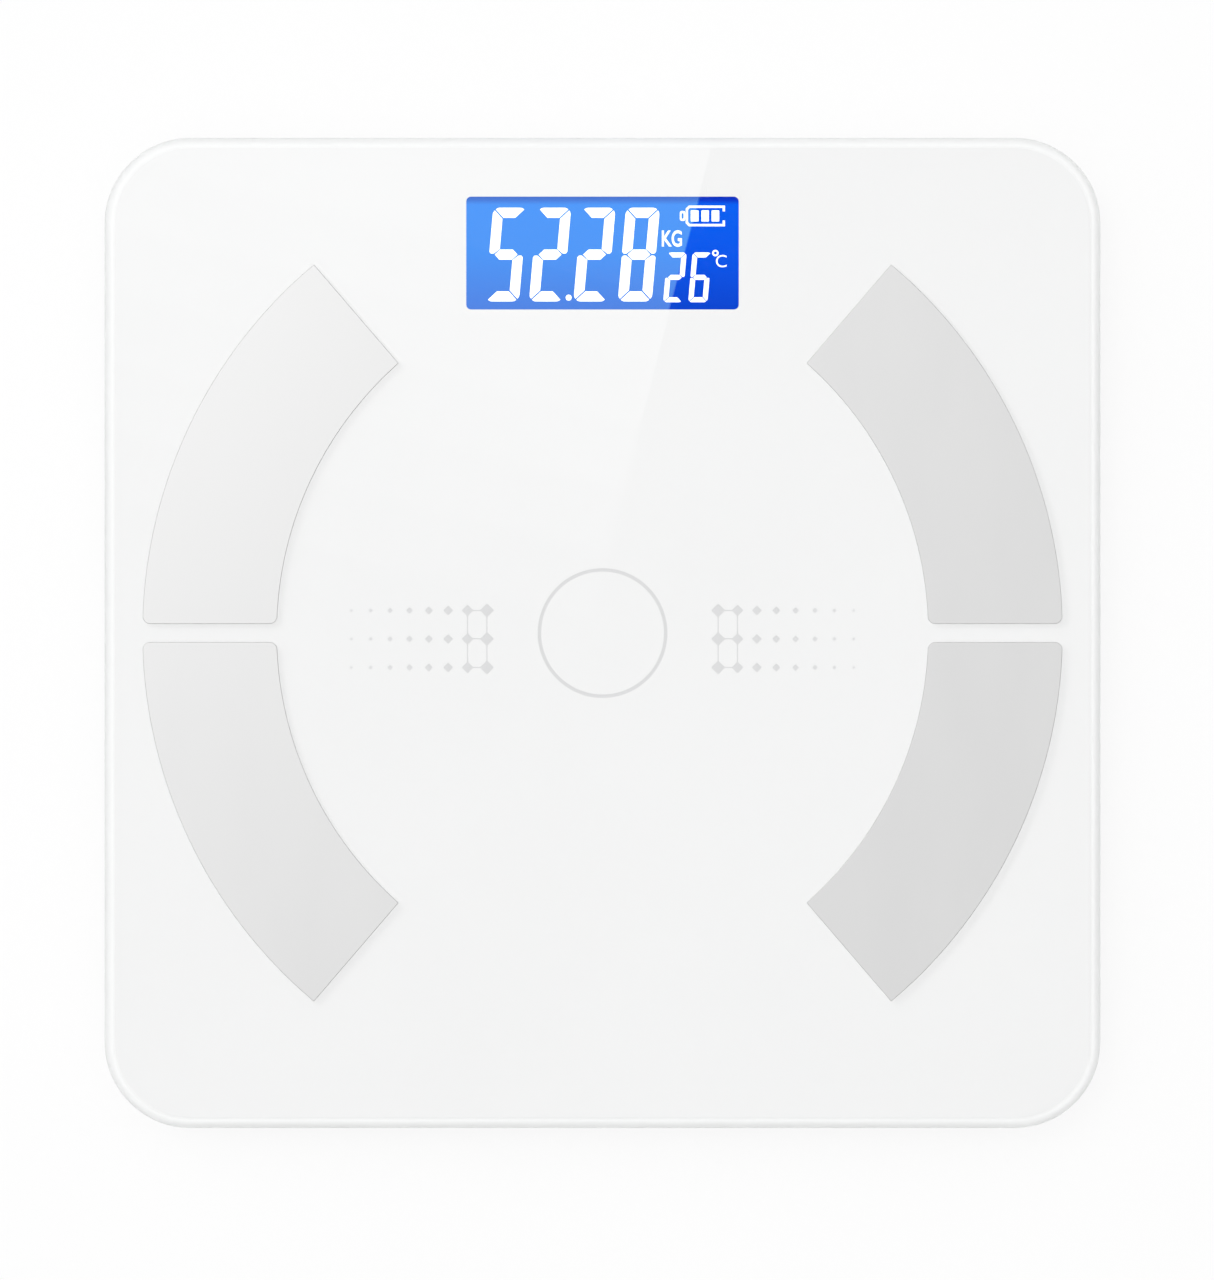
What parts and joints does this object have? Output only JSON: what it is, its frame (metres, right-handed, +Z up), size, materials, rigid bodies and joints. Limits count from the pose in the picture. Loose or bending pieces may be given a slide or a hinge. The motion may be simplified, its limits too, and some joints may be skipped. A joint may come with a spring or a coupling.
{
  "type": "digital bathroom scale",
  "caption": "Square glass bathroom scale with arc-shaped electrodes, a lit blue display, and load-cell feet under a shallow white base.",
  "frame": {"origin": "middle of the scale's outline, on the floor that its foot pads stand on", "axes": "+X to the user's right, +Y from the heels to the display, +Z up"},
  "size_m": [0.26, 0.2586, 0.0259],
  "materials": {
    "glass": "clear tempered glass, polished faces, ground edge",
    "white_print": "opaque white film seen through the glass",
    "electrode_metal": "satin plated steel",
    "foam_tape": "closed-cell foam tape",
    "white_abs": "fine-textured white ABS",
    "grey_abs": "moulded grey ABS",
    "rubber": "grey moulded rubber",
    "spring_steel": "bright pressed steel",
    "plated_steel": "zinc plated",
    "gauge_sealant": "white silicone sealant",
    "display_blue": "lit blue liquid crystal with white characters",
    "guide": "clear acrylic light guide, lit blue",
    "lamp": "lamp body with phosphor window",
    "frame_white": "white moulded frame",
    "elastomer": "striped conductive elastomer",
    "board_green": "green solder mask",
    "chip_black": "black moulding compound",
    "parts_tan": "ceramic and metal small parts",
    "connector_ivory": "ivory nylon",
    "switch_grey": "tinned switch cover",
    "plunger_black": "black nylon",
    "wire_red": "red, white and black insulated wires",
    "wire_grey": "grey insulated wire",
    "wire_black": "red and black insulated wires",
    "battery_skin": "plain printed sleeve with bare metal ends"
  },
  "bodies": {
    "platform": {"back_print": "white_print", "base_shell": "white_abs", "battery_far": "battery_skin", "battery_leads": "wire_black", "battery_near": "battery_skin", "battery_plate": "spring_steel", "battery_springs": "spring_steel", "board_parts": "parts_tan", "board_screws": "plated_steel", "bonding_tape": "foam_tape", "bracket_screws": "plated_steel", "contact_strip": "elastomer", "controller_chip": "chip_black", "display_cell": "display_blue", "display_frame": "frame_white", "display_gasket": "foam_tape", "display_lamps": "lamp", "electrode_heel_left": "electrode_metal", "electrode_heel_right": "electrode_metal", "electrode_leads": "wire_grey", "electrode_nuts": "plated_steel", "electrode_terminals": "plated_steel", "electrode_toe_left": "electrode_metal", "electrode_toe_right": "electrode_metal", "glass_platform": "glass", "light_guide": "guide", "load_cell_heel_left": "spring_steel", "load_cell_heel_right": "spring_steel", "load_cell_lead_heel_left": "wire_red", "load_cell_lead_heel_right": "wire_red", "load_cell_lead_toe_left": "wire_red", "load_cell_lead_toe_right": "wire_red", "load_cell_toe_left": "spring_steel", "load_cell_toe_right": "spring_steel", "main_board": "board_green", "sensor_bracket_heel_left": "grey_abs", "sensor_bracket_heel_right": "grey_abs", "sensor_bracket_toe_left": "grey_abs", "sensor_bracket_toe_right": "grey_abs", "strain_gauge_heel_left": "gauge_sealant", "strain_gauge_heel_right": "gauge_sealant", "strain_gauge_toe_left": "gauge_sealant", "strain_gauge_toe_right": "gauge_sealant", "tact_switch": "switch_grey", "thermistor": "parts_tan", "wire_connectors": "connector_ivory"},
    "toe_left_foot": {"foot_toe_left": "white_abs", "foot_pad_toe_left": "rubber"},
    "toe_right_foot": {"foot_toe_right": "white_abs", "foot_pad_toe_right": "rubber"},
    "heel_left_foot": {"foot_heel_left": "white_abs", "foot_pad_heel_left": "rubber"},
    "heel_right_foot": {"foot_heel_right": "white_abs", "foot_pad_heel_right": "rubber"},
    "battery_door": {"battery_door": "white_abs"},
    "unit_button": {"unit_button": "white_abs", "switch_plunger": "plunger_black"}
  },
  "joints": [
    {"name": "toe_left_foot_press", "type": "slide", "parent": "platform", "child": "toe_left_foot", "axis": [0, 0, 1], "range_m": [0, 0.0005], "stiffness_N_per_m": 2000, "deforming": ["load_cell_toe_left"]},
    {"name": "toe_right_foot_press", "type": "slide", "parent": "platform", "child": "toe_right_foot", "axis": [0, 0, 1], "range_m": [0, 0.0005], "stiffness_N_per_m": 2000, "deforming": ["load_cell_toe_right"]},
    {"name": "heel_left_foot_press", "type": "slide", "parent": "platform", "child": "heel_left_foot", "axis": [0, 0, 1], "range_m": [0, 0.0005], "stiffness_N_per_m": 2000, "deforming": ["load_cell_heel_left"]},
    {"name": "heel_right_foot_press", "type": "slide", "parent": "platform", "child": "heel_right_foot", "axis": [0, 0, 1], "range_m": [0, 0.0005], "stiffness_N_per_m": 2000, "deforming": ["load_cell_heel_right"]},
    {"name": "battery_door_hinge", "type": "hinge", "parent": "platform", "child": "battery_door", "pos_m": [0, -0.0125, 0.0045], "axis": [-1, 0, 0], "range_deg": [0, 80]},
    {"name": "unit_button_press", "type": "slide", "parent": "platform", "child": "unit_button", "axis": [0, 0, 1], "range_m": [0, 0.0005], "stiffness_N_per_m": 2500, "springref_m": -0.0001}
  ]
}
